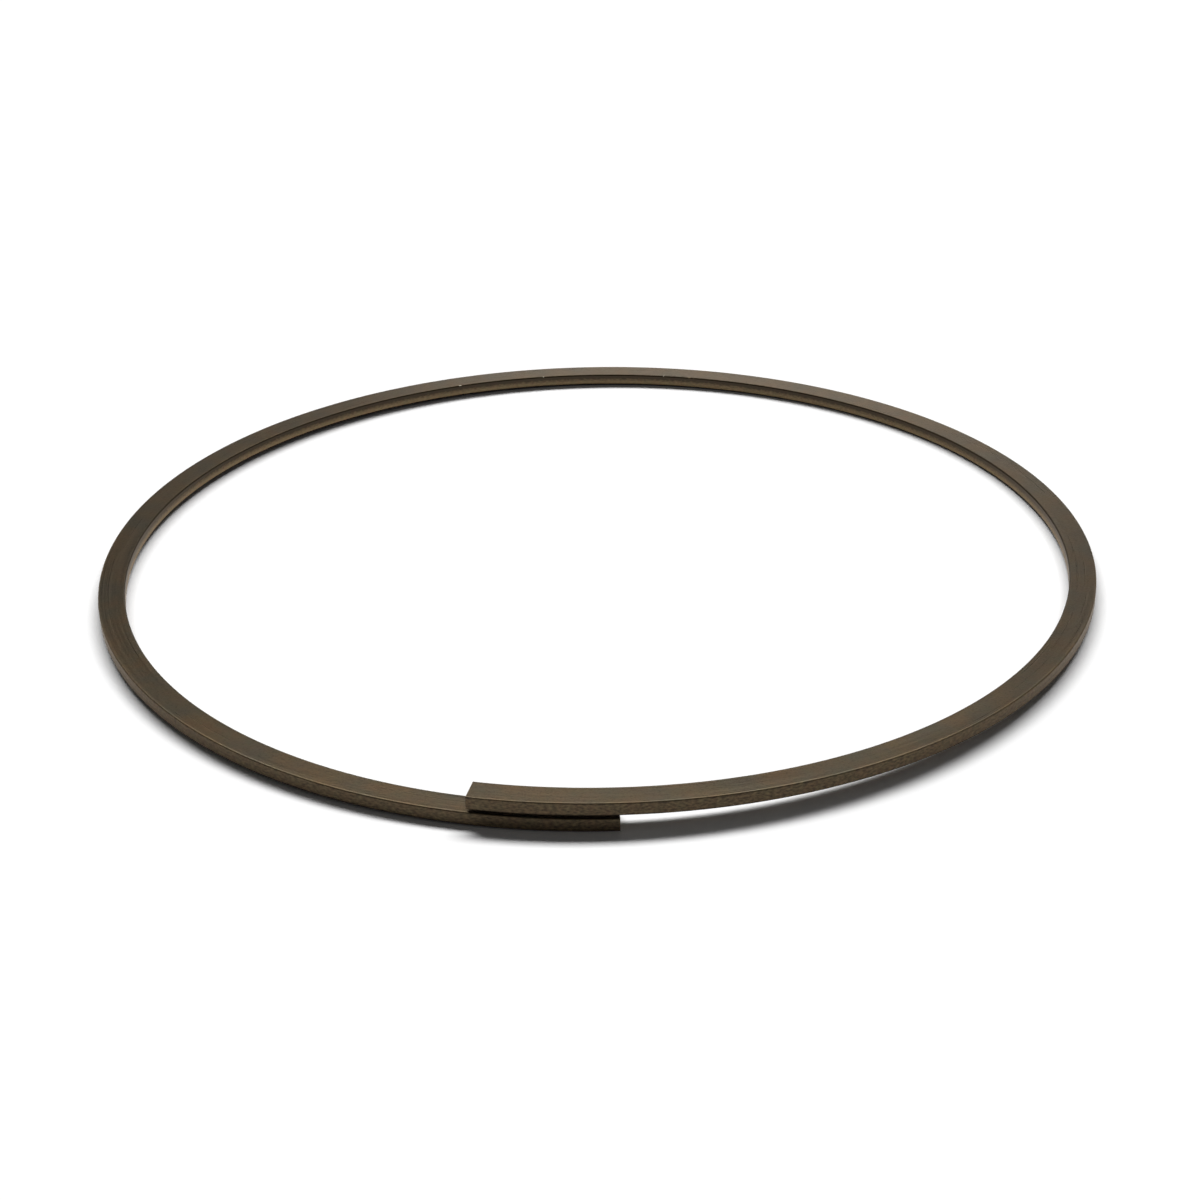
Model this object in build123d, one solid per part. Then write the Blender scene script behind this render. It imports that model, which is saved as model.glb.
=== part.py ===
"""Snap ring: one piece of flat spring-steel wire coiled on edge, with square-cut ends that overlap.

All sizes are in millimetres and all angles in degrees. The ring lies on the plane Z = 0 with its axis on
Z. Angles are measured from the front (-Y), clockwise as seen from above.
"""

from build123d import *
from math import cos, pi, radians, sin
import os

# Flat wire
wire_width = 4.2
wire_thickness = 2.0
edge_rounding = 0.25

# Ring in its free state, before it is sprung over a shaft
outer_radius = 80.0
lower_end_angle = -2.0
upper_end_angle = 373.0

# Lay of the ring on a flat surface
end_gap = 0.48  # clear height between the two arms where they cross
side_tip = 0.45  # how far the left side is tipped up, and the right side down
back_lift = 0.14  # how far the back is tipped up

# Sizing of the two edges of the coil
edge_stock = 0.02  # wire left proud of each edge, then cut away to leave it truly round

# How closely the curves follow the lay
angle_between_stations = 15.0
guide_height = 5.0  # of the curve that keeps the section upright, above the middle of the wire

seat_radius = outer_radius - wire_width
swept_width = wire_width + 2 * edge_stock
swept_radius = (outer_radius + seat_radius) / 2
cutter_height = 2 * outer_radius


def lay_height(angle):
    """Height of the wire's underside at an angle, before the ring is set down on its lowest point.

    The ends are pushed past each other, which bends the whole ring out of flat. The first half stays
    nearly level and the second half climbs, until the upper arm clears the lower one at the front.
    """
    turn = radians(angle)
    climb = (wire_thickness + end_gap) * turn * (1 + cos(turn)) / (4 * pi)
    tip = side_tip * sin(turn) + back_lift * (1 - cos(turn)) / 2
    return climb + tip


def station_angles():
    """Evenly spaced angles from the lower end to the upper end."""
    span = upper_end_angle - lower_end_angle
    steps = round(span / angle_between_stations)
    return [lower_end_angle + span * step / steps for step in range(steps + 1)]


def curve_above(height):
    """A smooth curve that follows the middle of the wire, at a height above the wire's underside."""
    ground = min(lay_height(angle) for angle in station_angles())
    points = []
    for angle in station_angles():
        turn = radians(angle)
        level = lay_height(angle) - ground + height
        points.append((-swept_radius * sin(turn), -swept_radius * cos(turn), level))
    return Spline(*points)


def make_snap_ring():
    """The rounded wire section swept round the ring, with both edges cut to true cylinders."""
    path = curve_above(wire_thickness / 2)
    guide = curve_above(wire_thickness / 2 + guide_height)

    turn = radians(lower_end_angle)
    outwards = (-sin(turn), -cos(turn), 0)
    lower_end = Plane(origin=path @ 0, x_dir=outwards, z_dir=path % 0)
    section = lower_end * RectangleRounded(swept_width, wire_thickness, edge_rounding)

    wire = sweep(section, path=path, binormal=guide.edge())
    rim = Cylinder(outer_radius, cutter_height)
    seat = Cylinder(seat_radius, cutter_height)
    return wire & (rim - seat)


os.makedirs("parts", exist_ok=True)
export_step(make_snap_ring(), "parts/snap_ring.step")
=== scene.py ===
from math import cos, pi, radians, sin, tan

import bpy
from mathutils import Matrix, Vector


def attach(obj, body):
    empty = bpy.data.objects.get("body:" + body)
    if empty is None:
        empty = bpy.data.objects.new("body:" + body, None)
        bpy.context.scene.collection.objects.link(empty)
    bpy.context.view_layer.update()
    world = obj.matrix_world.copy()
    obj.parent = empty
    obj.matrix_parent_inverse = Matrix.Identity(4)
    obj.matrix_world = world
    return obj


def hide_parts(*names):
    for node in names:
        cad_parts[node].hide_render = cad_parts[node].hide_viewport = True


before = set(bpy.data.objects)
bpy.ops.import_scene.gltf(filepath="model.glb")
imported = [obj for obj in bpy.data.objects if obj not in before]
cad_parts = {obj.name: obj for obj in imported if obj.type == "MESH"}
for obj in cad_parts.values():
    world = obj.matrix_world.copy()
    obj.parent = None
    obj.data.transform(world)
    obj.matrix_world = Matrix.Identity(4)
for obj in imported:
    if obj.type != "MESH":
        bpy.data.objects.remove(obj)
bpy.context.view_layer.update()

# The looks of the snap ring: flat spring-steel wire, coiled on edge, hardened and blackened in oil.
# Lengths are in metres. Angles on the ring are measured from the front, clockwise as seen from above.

MM = 0.001

# Flat wire
wire_width = 4.2 * MM
wire_thickness = 2.0 * MM
edge_rounding = 0.25 * MM
cut_rounding = 0.06 * MM  # of the edges round the two sheared ends

# Ring in its free state
outer_radius = 80.0 * MM
middle_radius = outer_radius - wire_width / 2
lower_end_angle = radians(-2.0)
upper_end_angle = radians(373.0)

# Lay of the ring on a flat surface
end_gap = 0.48 * MM
side_tip = 0.45 * MM
back_lift = 0.14 * MM

# Fineness of the swept mesh
stations_along_wire = 720
facets_per_edge = 5
corner_bend = pi / 3  # an edge that bends more than this is a corner
angle_tolerance = 1e-4

# Patterns in the steel's skin. Real draw lines and grain are about ten times finer, and are drawn as coarse
# as they need to be to show. The other sizes are chosen to look like the photograph's.
draw_line_length = 35 * MM
draw_line_width = 0.2 * MM
draw_line_depth = 0.003 * MM
grain_size = 0.3 * MM
grain_height = 0.016 * MM
fleck_length = 0.6 * MM
fleck_width = 0.3 * MM
cloud_size = 6 * MM
hue_patch_size = 2 * MM
hue_patch_seed = 5.0

# Places on the section, as distances from its middle
wall_start = 0.48 * wire_width
wall_full = 0.499 * wire_width
painted_light_start = 0.4 * wire_thickness  # painted light makes the inner wall more golden from here down
painted_light_full = -0.3 * wire_thickness
painted_shade_and_light = (-0.28, 0.3)  # painted shade added to the flecks at the top of that stretch, and painted light at the bottom
nick_bottom = 0.45 * wire_thickness

# Wear
edge_reach = 0.28 * MM  # how far in from a corner the edge's colour and roughness go
rub_length = 5 * MM
nicks = ((160.45, 0.5 * MM), (172.65, 0.22 * MM), (189.95, 0.18 * MM))  # angle in degrees, and length

# Colours of the steel
brown_skin = "#534636"
grey_olive_skin = "#48433A"
line_in_skin = "#3A3227"
speck_in_skin = "#2E271F"
dark_varnish = "#3F372F"
golden_varnish = "#84735B"
# painted dark reflection on the inner long edges
painted_dark_edge = "#231D15"
rubbed_edge = "#857763"
nicked_edge = "#8F897E"
sheared_end = "#554C40"
reddish_tint = "#FFF8F0"
olive_tint = "#F9FCF2"
grazing_tint = "#FFF7EE"
plain_white = "#FFFFFF"

# Roughness of the drawn faces, from the smoothest lines to the roughest, and what other places add to it
face_roughness = (0.27, 0.34)
wall_roughness = 0.12
edge_roughness = 0.15
sheared_roughness = 0.15

# Camera, at the photograph's viewing angle
camera_distance = 4.973 * outer_radius
camera_elevation = radians(26.72)
camera_sideways = 0.0233 * outer_radius
camera_yaw = radians(-0.057)
camera_pitch = radians(-0.847)
camera_roll = radians(1.309)
focal_length_in_pixels = 2435.6
image_width_in_pixels = 1200

# Floor and light. A level is a light's share of the light on the floor, where 1 in all makes white paper
# white. The lamps hang so far off that they light evenly, and their widths and heights are seen angles.
floor_half = 2.0  # half the floor's width
lamp_distance = 60.0
softbox = {"azimuth": radians(2), "elevation": radians(55), "width": radians(60), "height": radians(16),
           "level": 1.2}
low_strip = {"azimuth": radians(4), "elevation": radians(15), "width": radians(16), "height": radians(9),
             "level": 0.010}
ambient_level = 0.06
ceiling_level = 0.03
backdrop_top = radians(8)  # where the white backdrop starts to fade
ceiling_start = radians(21)
overhead_start = radians(65)  # where the pale part of the ceiling starts, which only the reflections see
overhead_level = 0.7


def linear(hex_colour):
    """An sRGB hex colour as linear red, green, blue and alpha."""
    channels = [int(hex_colour[place:place + 2], 16) / 255 for place in (1, 3, 5)]
    curve = [c / 12.92 if c <= 0.04045 else ((c + 0.055) / 1.055) ** 2.4 for c in channels]
    return (*curve, 1.0)


def add(tree, kind, inputs, **settings):
    """Adds a node with its settings, fills its inputs with values or outputs, and returns its outputs."""
    node = tree.nodes.new(kind)
    for name, value in settings.items():
        setattr(node, name, value)
    for key, value in inputs.items():
        if isinstance(value, bpy.types.NodeSocket):
            tree.links.new(value, node.inputs[key])
        else:
            node.inputs[key].default_value = value
    return node.outputs


def material_tree(name):
    """A new material and its emptied node tree."""
    material = bpy.data.materials.new(name)
    material.use_nodes = True
    material.node_tree.nodes.clear()
    return material, material.node_tree


def oil_blackened_spring_steel():
    """Carbon spring steel, drawn flat, hardened and quenched in oil, which bakes on as a brown-black skin."""
    material, tree = material_tree("oil_blackened_spring_steel")
    straight = add(tree, "ShaderNodeAttribute", {}, attribute_name="straight_wire")["Vector"]
    along, outwards, upwards = add(tree, "ShaderNodeSeparateXYZ", {0: straight})
    from_middle = add(tree, "ShaderNodeMath", {0: outwards}, operation="ABSOLUTE")[0]
    from_core = add(tree, "ShaderNodeMath", {0: upwards}, operation="ABSOLUTE")[0]

    # The drawing die's lines give the surface its direction and break up its shine
    stretched = add(tree, "ShaderNodeVectorMath", {
        0: straight, 1: (1 / draw_line_length, 1 / draw_line_width, 1 / draw_line_width)},
        operation="MULTIPLY")[0]
    draw_lines = add(tree, "ShaderNodeTexNoise", {"Vector": stretched, "Scale": 1.0, "Detail": 2.0})[0]

    # The fine grain of the baked skin gives a slight sparkle
    grain = add(tree, "ShaderNodeTexNoise", {"Vector": straight, "Scale": 1 / grain_size, "Detail": 1.0})[0]

    # The skin is thicker in some places than in others, in clouds of brown and grey olive
    clouds = add(tree, "ShaderNodeTexNoise", {"Vector": straight, "Scale": 1 / cloud_size, "Detail": 4.0})[0]
    clouds = add(tree, "ShaderNodeMapRange", {"Value": clouds, "From Min": 0.35, "From Max": 0.65})[0]
    skin = add(tree, "ShaderNodeMix", {0: clouds, 6: linear(brown_skin), 7: linear(grey_olive_skin)},
               data_type="RGBA")[2]
    dark_lines = add(tree, "ShaderNodeMapRange", {
        "Value": draw_lines, "From Min": 0.45, "From Max": 0.75, "To Max": 0.08})[0]
    skin = add(tree, "ShaderNodeMix", {0: dark_lines, 6: skin, 7: linear(line_in_skin)}, data_type="RGBA")[2]

    # Fine dark specks in the skin
    specks = add(tree, "ShaderNodeMapRange", {
        "Value": grain, "From Min": 0.5, "From Max": 0.8, "To Max": 0.5})[0]
    skin = add(tree, "ShaderNodeMix", {0: specks, 6: skin, 7: linear(speck_in_skin)}, data_type="RGBA")[2]

    # On the two narrow walls the skin is golden brown with dark flecks. On the inner one painted light makes
    # the lower half more golden, and painted shade darkens the top.
    fleck_place = add(tree, "ShaderNodeVectorMath", {
        0: straight, 1: (1 / fleck_length, 1 / fleck_width, 1 / fleck_width)}, operation="MULTIPLY")[0]
    flecks = add(tree, "ShaderNodeTexNoise", {"Vector": fleck_place, "Scale": 1.0, "Detail": 3.0})[0]
    flecks = add(tree, "ShaderNodeMapRange", {"Value": flecks, "To Min": 0.27, "To Max": 0.73})[0]
    painted_wall_light = add(tree, "ShaderNodeMapRange", {
        "Value": upwards, "From Min": painted_light_start, "From Max": painted_light_full,
        "To Min": painted_shade_and_light[0], "To Max": painted_shade_and_light[1]})[0]
    is_inner = add(tree, "ShaderNodeMath", {0: outwards, 1: 0.0}, operation="LESS_THAN")[0]
    golden_flecks_and_painted_light = add(tree, "ShaderNodeMath", {0: painted_wall_light, 1: is_inner, 2: flecks}, operation="MULTIPLY_ADD")[0]
    golden_flecks_and_painted_light = add(tree, "ShaderNodeMapRange", {"Value": golden_flecks_and_painted_light, "From Min": 0.42, "From Max": 0.82})[0]
    wall_skin_and_painted_light = add(tree, "ShaderNodeMix", {0: golden_flecks_and_painted_light, 6: linear(dark_varnish), 7: linear(golden_varnish)},
                  data_type="RGBA")[2]
    on_wall = add(tree, "ShaderNodeMapRange", {
        "Value": from_middle, "From Min": wall_start, "From Max": wall_full})[0]
    colour = add(tree, "ShaderNodeMix", {0: on_wall, 6: skin, 7: wall_skin_and_painted_light}, data_type="RGBA")[2]

    # The long edges are rougher than the faces. Those on the inner side are painted nearly black, a painted
    # dark reflection.
    in_from_side = add(tree, "ShaderNodeMath", {0: wire_width / 2, 1: from_middle}, operation="SUBTRACT")[0]
    in_from_top = add(tree, "ShaderNodeMath", {0: wire_thickness / 2, 1: from_core}, operation="SUBTRACT")[0]
    from_edge = add(tree, "ShaderNodeMath", {0: in_from_side, 1: in_from_top}, operation="MAXIMUM")[0]
    at_edge = add(tree, "ShaderNodeMapRange", {
        "Value": from_edge, "From Min": edge_reach / 2, "From Max": edge_reach,
        "To Min": 1.0, "To Max": 0.0})[0]
    painted_edge_shade = add(tree, "ShaderNodeMath", {0: at_edge, 1: is_inner}, operation="MULTIPLY")[0]
    colour = add(tree, "ShaderNodeMix", {0: painted_edge_shade, 6: colour, 7: linear(painted_dark_edge)}, data_type="RGBA")[2]

    # Here and there the edges are rubbed through to brighter steel
    rub_place = add(tree, "ShaderNodeVectorMath", {
        0: straight, 1: (1 / rub_length, 1 / wire_width, 1 / wire_width)}, operation="MULTIPLY")[0]
    rubs = add(tree, "ShaderNodeTexNoise", {
        "Vector": rub_place, "Scale": 1.0, "Detail": 5.0, "Roughness": 0.65})[0]
    rubs = add(tree, "ShaderNodeMapRange", {"Value": rubs, "From Min": 0.66, "From Max": 0.76})[0]
    rubbed = add(tree, "ShaderNodeMath", {0: at_edge, 1: rubs}, operation="MULTIPLY")[0]
    colour = add(tree, "ShaderNodeMix", {0: rubbed, 6: colour, 7: linear(rubbed_edge)}, data_type="RGBA")[2]

    # Small patches lean towards red or towards olive, as temper colours do
    hue = add(tree, "ShaderNodeTexNoise", {
        "Vector": straight, "W": hue_patch_seed, "Scale": 1 / hue_patch_size, "Detail": 2.0},
        noise_dimensions="4D")[0]
    hue = add(tree, "ShaderNodeMapRange", {"Value": hue, "From Min": 0.38, "From Max": 0.62})[0]
    tint = add(tree, "ShaderNodeMix", {0: hue, 6: linear(reddish_tint), 7: linear(olive_tint)},
               data_type="RGBA")[2]
    colour = add(tree, "ShaderNodeMix", {0: 1.0, 6: colour, 7: tint},
                 data_type="RGBA", blend_type="MULTIPLY")[2]

    # Three nicks on the inner upper edge show bare steel
    nicked = 0.0
    for angle, length in nicks:
        close = add(tree, "ShaderNodeMath", {0: along, 1: radians(angle) * middle_radius, 2: length / 2},
                    operation="COMPARE")[0]
        nicked = add(tree, "ShaderNodeMath", {0: close, 1: nicked}, operation="MAXIMUM")[0]
    is_upper = add(tree, "ShaderNodeMath", {0: upwards, 1: nick_bottom}, operation="GREATER_THAN")[0]
    nicked = add(tree, "ShaderNodeMath", {0: nicked, 1: is_upper}, operation="MULTIPLY")[0]
    nicked = add(tree, "ShaderNodeMath", {0: nicked, 1: painted_edge_shade}, operation="MULTIPLY")[0]
    colour = add(tree, "ShaderNodeMix", {0: nicked, 6: colour, 7: linear(nicked_edge)}, data_type="RGBA")[2]

    # The two sheared ends are duller and greyer
    past_lower = add(tree, "ShaderNodeMath", {0: along, 1: lower_end_angle * middle_radius + cut_rounding},
                     operation="LESS_THAN")[0]
    past_upper = add(tree, "ShaderNodeMath", {0: along, 1: upper_end_angle * middle_radius - cut_rounding},
                     operation="GREATER_THAN")[0]
    sheared = add(tree, "ShaderNodeMath", {0: past_lower, 1: past_upper}, operation="MAXIMUM")[0]
    colour = add(tree, "ShaderNodeMix", {0: sheared, 6: colour, 7: linear(sheared_end)}, data_type="RGBA")[2]

    # The faces are smoothest between the draw lines, and every other place is rougher
    smoothest, roughest = face_roughness
    roughness = add(tree, "ShaderNodeMapRange", {
        "Value": draw_lines, "From Min": 0.3, "From Max": 0.7, "To Min": smoothest, "To Max": roughest})[0]
    for place, extra in ((on_wall, wall_roughness), (at_edge, edge_roughness), (sheared, sheared_roughness)):
        roughness = add(tree, "ShaderNodeMath", {0: place, 1: extra, 2: roughness},
                        operation="MULTIPLY_ADD")[0]

    # Draw lines and grain stand up from the surface, and the shine is stretched across the draw lines
    relief = add(tree, "ShaderNodeMath", {0: draw_lines, 1: draw_line_depth}, operation="MULTIPLY")[0]
    relief = add(tree, "ShaderNodeMath", {0: grain, 1: grain_height, 2: relief}, operation="MULTIPLY_ADD")[0]
    normal = add(tree, "ShaderNodeBump", {"Height": relief, "Distance": 1.0, "Strength": 1.0})[0]
    round_axis = add(tree, "ShaderNodeTangent", {}, direction_type="RADIAL", axis="Z")[0]
    surface = add(tree, "ShaderNodeBsdfPrincipled", {
        "Base Color": colour,
        "Metallic": 1.0,
        "Roughness": roughness,
        "Specular Tint": linear(grazing_tint),
        "Anisotropic": 0.23,
        "Anisotropic Rotation": 0.25,
        "Tangent": round_axis,
        "Normal": normal,
    })
    add(tree, "ShaderNodeOutputMaterial", {"Surface": surface[0]})
    return material


def coiled_wire_tree():
    """Node tree that sweeps the flat wire round the ring along the lay."""
    tree = bpy.data.node_groups.new("coiled_flat_wire", "GeometryNodeTree")
    for name in ("Outer Radius", "Wire Width", "Wire Thickness", "Lower End Angle", "Upper End Angle",
                 "End Gap", "Side Tip", "Back Lift", "Cut Rounding Share"):
        tree.interface.new_socket(name, in_out="INPUT", socket_type="NodeSocketFloat")
    tree.interface.new_socket("Stations", in_out="INPUT", socket_type="NodeSocketInt")
    tree.interface.new_socket("Steel", in_out="INPUT", socket_type="NodeSocketMaterial")
    tree.interface.new_socket("Wire", in_out="OUTPUT", socket_type="NodeSocketGeometry")
    given = tree.nodes.new("NodeGroupInput").outputs

    # A straight run of stations, each of which knows its angle on the ring
    run = add(tree, "GeometryNodeCurvePrimitiveLine", {})
    run = add(tree, "GeometryNodeResampleCurve", {"Curve": run[0], "Count": given["Stations"]})
    along = add(tree, "GeometryNodeSplineParameter", {})
    turn = add(tree, "ShaderNodeMapRange", {
        "Value": along["Factor"], "To Min": given["Lower End Angle"], "To Max": given["Upper End Angle"]})
    run = add(tree, "GeometryNodeStoreNamedAttribute", {"Geometry": run[0], "Name": "turn", "Value": turn[0]},
              data_type="FLOAT", domain="POINT")
    turn = add(tree, "GeometryNodeInputNamedAttribute", {"Name": "turn"}, data_type="FLOAT")[0]
    sine = add(tree, "ShaderNodeMath", {0: turn}, operation="SINE")[0]
    cosine = add(tree, "ShaderNodeMath", {0: turn}, operation="COSINE")[0]

    # The lay: the climb from the lower arm to the upper one, the tip to the side and the lift of the back
    pitch = add(tree, "ShaderNodeMath", {0: given["Wire Thickness"], 1: given["End Gap"]}, operation="ADD")[0]
    crossing = add(tree, "ShaderNodeMath", {0: cosine, 1: 1.0}, operation="ADD")[0]
    climb = add(tree, "ShaderNodeMath", {0: turn, 1: crossing}, operation="MULTIPLY")[0]
    climb = add(tree, "ShaderNodeMath", {0: climb, 1: pitch}, operation="MULTIPLY")[0]
    climb = add(tree, "ShaderNodeMath", {0: climb, 1: 4 * pi}, operation="DIVIDE")[0]
    backness = add(tree, "ShaderNodeMapRange", {"Value": cosine, "From Min": 1.0, "From Max": -1.0})[0]
    tipped = add(tree, "ShaderNodeMath", {0: sine, 1: given["Side Tip"], 2: climb},
                 operation="MULTIPLY_ADD")[0]
    lay = add(tree, "ShaderNodeMath", {0: backness, 1: given["Back Lift"], 2: tipped},
              operation="MULTIPLY_ADD")[0]
    run = add(tree, "GeometryNodeStoreNamedAttribute", {"Geometry": run[0], "Name": "lay", "Value": lay},
              data_type="FLOAT", domain="POINT")
    lay = add(tree, "GeometryNodeInputNamedAttribute", {"Name": "lay"}, data_type="FLOAT")[0]
    ground = add(tree, "GeometryNodeAttributeStatistic", {"Geometry": run[0], "Attribute": lay},
                 data_type="FLOAT", domain="POINT")["Min"]

    # The stations brought round the ring, set down on their lowest point
    half_width = add(tree, "ShaderNodeMath", {0: given["Wire Width"], 1: 2.0}, operation="DIVIDE")[0]
    middle = add(tree, "ShaderNodeMath", {0: given["Outer Radius"], 1: half_width}, operation="SUBTRACT")[0]
    back = add(tree, "ShaderNodeMath", {0: middle, 1: -1.0}, operation="MULTIPLY")[0]
    across = add(tree, "ShaderNodeMath", {0: back, 1: sine}, operation="MULTIPLY")[0]
    away = add(tree, "ShaderNodeMath", {0: back, 1: cosine}, operation="MULTIPLY")[0]
    half_thickness = add(tree, "ShaderNodeMath", {0: given["Wire Thickness"], 1: 2.0}, operation="DIVIDE")[0]
    level = add(tree, "ShaderNodeMath", {0: lay, 1: ground}, operation="SUBTRACT")[0]
    level = add(tree, "ShaderNodeMath", {0: level, 1: half_thickness}, operation="ADD")[0]
    place = add(tree, "ShaderNodeCombineXYZ", {"X": across, "Y": away, "Z": level})
    path = add(tree, "GeometryNodeSetPosition", {"Geometry": run[0], "Position": place[0]})
    path = add(tree, "GeometryNodeSetCurveNormal", {"Curve": path[0]}, mode="Z_UP")

    # The wire's section, which carries its own flat coordinates
    section = add(tree, "GeometryNodeCurvePrimitiveQuadrilateral", {
        "Width": given["Wire Width"], "Height": given["Wire Thickness"]})
    position = add(tree, "GeometryNodeInputPosition", {})
    section = add(tree, "GeometryNodeStoreNamedAttribute", {
        "Geometry": section[0], "Name": "section", "Value": position[0]},
        data_type="FLOAT_VECTOR", domain="POINT")
    wire = add(tree, "GeometryNodeCurveToMesh", {
        "Curve": path[0], "Profile Curve": section[0], "Fill Caps": True})

    # Each point's place on the wire as if it were still straight: along it, outwards and up. The section
    # lies on the path turned half round.
    section = add(tree, "GeometryNodeInputNamedAttribute", {"Name": "section"}, data_type="FLOAT_VECTOR")[0]
    section = add(tree, "ShaderNodeVectorMath", {0: section, "Scale": -1.0}, operation="SCALE")[0]
    flat = add(tree, "ShaderNodeSeparateXYZ", {0: section})
    length = add(tree, "ShaderNodeMath", {0: turn, 1: middle}, operation="MULTIPLY")[0]
    straight = add(tree, "ShaderNodeCombineXYZ", {"X": length, "Y": flat["X"], "Z": flat["Y"]})
    wire = add(tree, "GeometryNodeStoreNamedAttribute", {
        "Geometry": wire[0], "Name": "straight_wire", "Value": straight[0]},
        data_type="FLOAT_VECTOR", domain="POINT")

    # How far each edge is rounded: in full along the wire, a little round the two ends, and not elsewhere
    bend = add(tree, "GeometryNodeInputMeshEdgeAngle", {})[0]
    is_corner = add(tree, "FunctionNodeCompare", {"A": bend, "B": corner_bend}, operation="GREATER_THAN")[0]
    at_lower = add(tree, "FunctionNodeCompare", {
        "A": turn, "B": given["Lower End Angle"], "Epsilon": angle_tolerance}, operation="EQUAL")[0]
    at_upper = add(tree, "FunctionNodeCompare", {
        "A": turn, "B": given["Upper End Angle"], "Epsilon": angle_tolerance}, operation="EQUAL")[0]
    at_end = add(tree, "FunctionNodeBooleanMath", {0: at_lower, 1: at_upper}, operation="OR")[0]
    share = add(tree, "GeometryNodeSwitch", {
        "Switch": at_end, "False": 1.0, "True": given["Cut Rounding Share"]}, input_type="FLOAT")[0]
    weight = add(tree, "GeometryNodeSwitch", {"Switch": is_corner, "False": 0.0, "True": share},
                 input_type="FLOAT")[0]
    wire = add(tree, "GeometryNodeStoreNamedAttribute", {
        "Geometry": wire[0], "Name": "bevel_weight_edge", "Value": weight}, data_type="FLOAT", domain="EDGE")

    for name in ("turn", "lay", "section"):
        wire = add(tree, "GeometryNodeRemoveAttribute", {"Geometry": wire[0], "Name": name})
    wire = add(tree, "GeometryNodeSetShadeSmooth", {"Geometry": wire[0]})
    wire = add(tree, "GeometryNodeRealizeInstances", {"Geometry": wire[0]})
    wire = add(tree, "GeometryNodeSetMaterial", {"Geometry": wire[0], "Material": given["Steel"]})
    tree.nodes.new("NodeGroupOutput")
    tree.links.new(wire[0], tree.nodes["Group Output"].inputs["Wire"])
    return tree


def make_wire():
    """The ring's wire as one plain mesh with rounded edges."""
    blank = bpy.data.objects.new("blank", bpy.data.meshes.new("blank"))
    bpy.context.scene.collection.objects.link(blank)
    sweep = blank.modifiers.new("sweep", "NODES")
    sweep.node_group = coiled_wire_tree()
    values = {
        "Outer Radius": outer_radius,
        "Wire Width": wire_width,
        "Wire Thickness": wire_thickness,
        "Lower End Angle": lower_end_angle,
        "Upper End Angle": upper_end_angle,
        "End Gap": end_gap,
        "Side Tip": side_tip,
        "Back Lift": back_lift,
        "Cut Rounding Share": cut_rounding / edge_rounding,
        "Stations": stations_along_wire,
        "Steel": oil_blackened_spring_steel(),
    }
    for socket in sweep.node_group.interface.items_tree:
        if socket.in_out == "INPUT":
            sweep[socket.identifier] = values[socket.name]
    rounding = blank.modifiers.new("rounding", "BEVEL")
    rounding.width = edge_rounding
    rounding.segments = facets_per_edge
    rounding.limit_method = "WEIGHT"
    rounding.harden_normals = True

    bpy.context.view_layer.update()
    evaluated = blank.evaluated_get(bpy.context.evaluated_depsgraph_get())
    wire = bpy.data.objects.new("ring_wire", bpy.data.meshes.new_from_object(evaluated))
    bpy.data.objects.remove(blank)
    bpy.context.scene.collection.objects.link(wire)
    return wire


ring_wire = make_wire()
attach(ring_wire, "root")
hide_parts("snap_ring")


def make_floor():
    """A plain white floor that keeps the ring's shadow."""
    sides = ((-1, -1), (1, -1), (1, 1), (-1, 1))
    corners = [(across * floor_half, away * floor_half, 0) for across, away in sides]
    mesh = bpy.data.meshes.new("floor")
    mesh.from_pydata(corners, [], [(0, 1, 2, 3)])
    floor = bpy.data.objects.new("floor", mesh)
    bpy.context.scene.collection.objects.link(floor)
    # Uncoated paper: even, and without shine
    material, tree = material_tree("matt_white_paper")
    matt = add(tree, "ShaderNodeBsdfDiffuse", {"Color": linear(plain_white)})
    add(tree, "ShaderNodeOutputMaterial", {"Surface": matt[0]})
    mesh.materials.append(material)


def hang_lamp(name, azimuth, elevation, width, height, level):
    """A rectangular lamp that faces the ring. Its azimuth is from straight behind, towards the right."""
    lamp = bpy.data.lights.new(name, "AREA")
    lamp.shape = "RECTANGLE"
    lamp.size = 2 * lamp_distance * tan(width / 2)
    lamp.size_y = 2 * lamp_distance * tan(height / 2)
    # The power that a lamp with an even face needs to light the floor, which it meets aslant, by its level
    lamp.energy = level * pi * pi * lamp_distance ** 2 / sin(elevation)
    hung = bpy.data.objects.new(name, lamp)
    towards = Vector((sin(azimuth) * cos(elevation), cos(azimuth) * cos(elevation), sin(elevation)))
    hung.location = towards * lamp_distance
    hung.rotation_euler = towards.to_track_quat("Z", "Y").to_euler()
    bpy.context.scene.collection.objects.link(hung)


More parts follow.
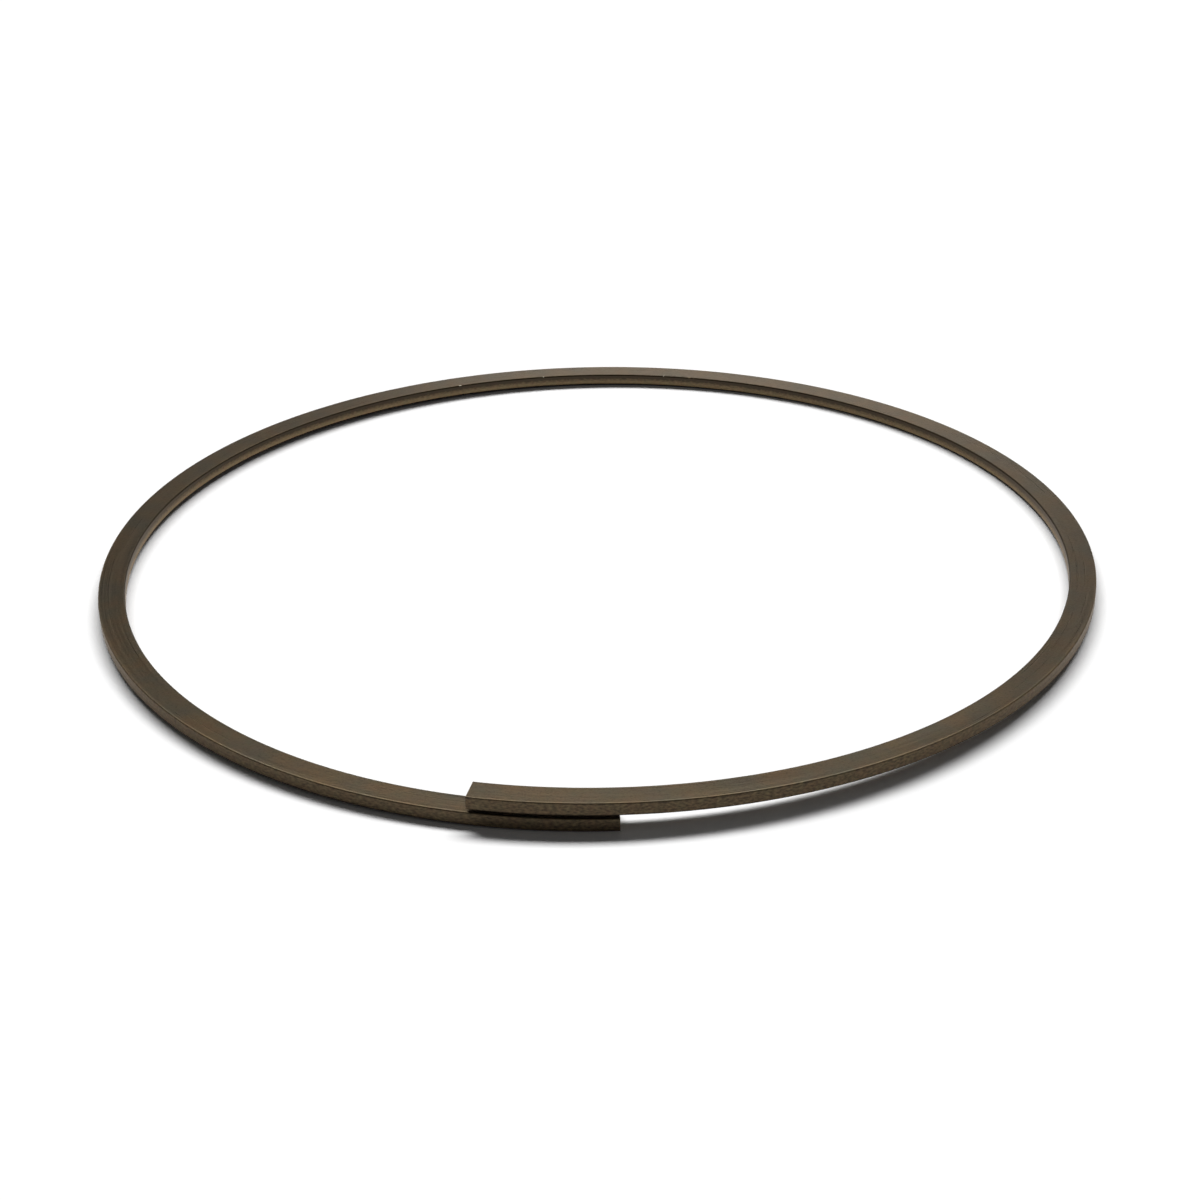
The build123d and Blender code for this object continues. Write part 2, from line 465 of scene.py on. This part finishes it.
def set_light():
    """A wide softbox above and behind the ring, a faint low strip, and an even dim light from all round.

    The ring's reflections see a white backdrop that fades into a dark ceiling, which is pale straight above.
    The camera sees plain white.
    """
    hang_lamp("softbox", **softbox)
    hang_lamp("low_strip", **low_strip)

    world = bpy.data.worlds.new("surroundings")
    bpy.context.scene.world = world
    world.use_nodes = True
    tree = world.node_tree
    tree.nodes.clear()
    ray = add(tree, "ShaderNodeLightPath", {})
    shown = add(tree, "ShaderNodeMath", {0: ray["Is Camera Ray"], 1: ray["Is Transmission Ray"]},
                operation="MAXIMUM")[0]
    direction = add(tree, "ShaderNodeTexCoord", {})["Generated"]
    upwards = add(tree, "ShaderNodeSeparateXYZ", {0: direction})["Z"]
    room = add(tree, "ShaderNodeMapRange", {
        "Value": upwards, "From Min": sin(backdrop_top), "From Max": sin(ceiling_start),
        "To Min": 1.0, "To Max": ceiling_level}, interpolation_type="SMOOTHSTEP")[0]
    overhead = add(tree, "ShaderNodeMapRange", {
        "Value": upwards, "From Min": sin(overhead_start), "From Max": 1.0, "To Max": overhead_level})[0]
    room = add(tree, "ShaderNodeMath", {0: room, 1: overhead}, operation="ADD")[0]
    level = add(tree, "ShaderNodeMix", {"Factor": ray["Is Glossy Ray"], "A": ambient_level, "B": room})[0]
    level = add(tree, "ShaderNodeMix", {"Factor": shown, "A": level, "B": 1.0})[0]
    light = add(tree, "ShaderNodeBackground", {"Color": linear(plain_white), "Strength": level})
    add(tree, "ShaderNodeOutputWorld", {"Surface": light[0]})


def set_camera():
    """The camera, turned from the ring's middle by small angles as the photograph is."""
    place = Vector((camera_sideways, -camera_distance * cos(camera_elevation),
                    camera_distance * sin(camera_elevation)))
    forward = -place.normalized()
    right = forward.cross(Vector((0, 0, 1))).normalized()
    up = right.cross(forward)
    for angle, axis_of in ((camera_yaw, 2), (camera_pitch, 0), (camera_roll, 1)):
        axis = (right, forward, up)[axis_of].copy()
        turn = Matrix.Rotation(angle, 3, axis)
        right, forward, up = turn @ right, turn @ forward, turn @ up
    camera = bpy.data.objects.new("camera", bpy.data.cameras.new("camera"))
    camera.data.sensor_width = 36.0
    camera.data.lens = focal_length_in_pixels * camera.data.sensor_width / image_width_in_pixels
    camera.matrix_world = Matrix((right, up, -forward)).transposed().to_4x4()
    camera.location = place
    bpy.context.scene.collection.objects.link(camera)
    bpy.context.scene.camera = camera


make_floor()
set_light()
set_camera()
bpy.context.scene.view_settings.view_transform = "Standard"
